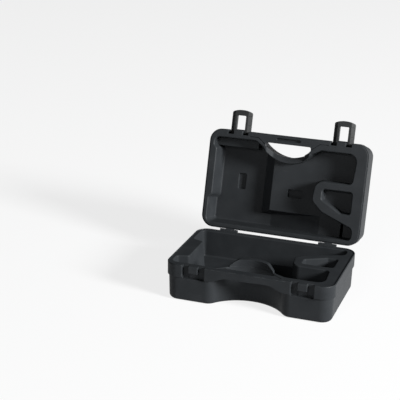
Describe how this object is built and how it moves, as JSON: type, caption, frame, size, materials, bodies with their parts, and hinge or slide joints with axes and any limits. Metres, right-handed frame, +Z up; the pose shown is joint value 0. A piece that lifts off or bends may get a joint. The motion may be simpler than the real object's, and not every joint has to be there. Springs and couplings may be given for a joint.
{
  "type": "drum pedal case",
  "caption": "Open black hard case with moulded pockets, a hinged lid, a built-in grip handle and swinging snap-frame latches.",
  "frame": {"origin": "middle of the base's flat resting face", "axes": "+X to the right along the long side, -Y towards the handle and latches, +Z up; the lid stands open at the rear"},
  "size_m": [0.4, 0.4022, 0.3751],
  "materials": {
    "shell": "satin black moulded plastic with a fine grain",
    "latch": "smooth black moulded plastic",
    "steel": "plain drawn steel"
  },
  "bodies": {
    "base": {"base_shell": "shell", "hinge_pin_left": "steel", "hinge_pin_right": "steel"},
    "lid": {"lid_shell": "shell", "latch_pin_left": "steel", "latch_pin_right": "steel"},
    "left_latch": {"latch_left": "latch"},
    "right_latch": {"latch_right": "latch"}
  },
  "joints": [
    {"name": "lid_hinge", "type": "hinge", "parent": "base", "child": "lid", "pos_m": [0, 0.1271, 0.0907], "axis": [1, 0, 0], "range_deg": [0, 106]},
    {"name": "left_latch_hinge", "type": "hinge", "parent": "lid", "child": "left_latch", "pos_m": [-0.1295, 0.21641, 0.32163], "axis": [1, 0, 0], "range_deg": [0, 90]},
    {"name": "right_latch_hinge", "type": "hinge", "parent": "lid", "child": "right_latch", "pos_m": [0.1295, 0.21641, 0.32163], "axis": [1, 0, 0], "range_deg": [0, 90]}
  ]
}
